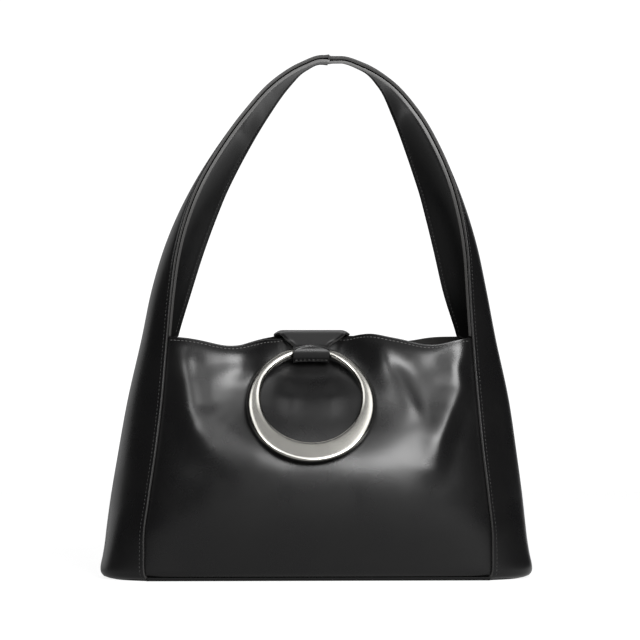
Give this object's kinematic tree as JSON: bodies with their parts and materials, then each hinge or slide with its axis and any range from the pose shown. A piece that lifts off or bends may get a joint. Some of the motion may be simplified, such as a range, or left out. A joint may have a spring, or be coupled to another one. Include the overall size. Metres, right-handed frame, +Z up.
{
  "type": "tote bag",
  "caption": "Standing black leather shoulder tote: side gussets run up into a wide strap, and a closing tab over the open mouth is looped round a swinging metal ring.",
  "frame": {"origin": "middle of the base's underside, on the surface that the bag stands on", "axes": "+X to the right as the front is seen, -Y out of the front panel, +Z up to the strap's crown"},
  "size_m": [0.3747, 0.1434, 0.4538],
  "materials": {
    "leather": "smooth, glossy black",
    "strap_facing": "smooth, half-gloss black",
    "ring_metal": "satin silver plating"
  },
  "bodies": {
    "bag": {"base_panel": "leather", "front_panel": "leather", "back_panel": "leather", "gusset_strap_left": "leather", "gusset_strap_right": "leather", "strap_facing_left": "strap_facing", "strap_facing_right": "strap_facing", "closure_tab": "leather"},
    "ring": {"ring": "ring_metal"}
  },
  "joints": [
    {"name": "ring_swing", "type": "hinge", "parent": "bag", "child": "ring", "pos_m": [-0.0055, -0.0308, 0.1957], "axis": [-1, 0, 0], "range_deg": [0, 130]}
  ]
}
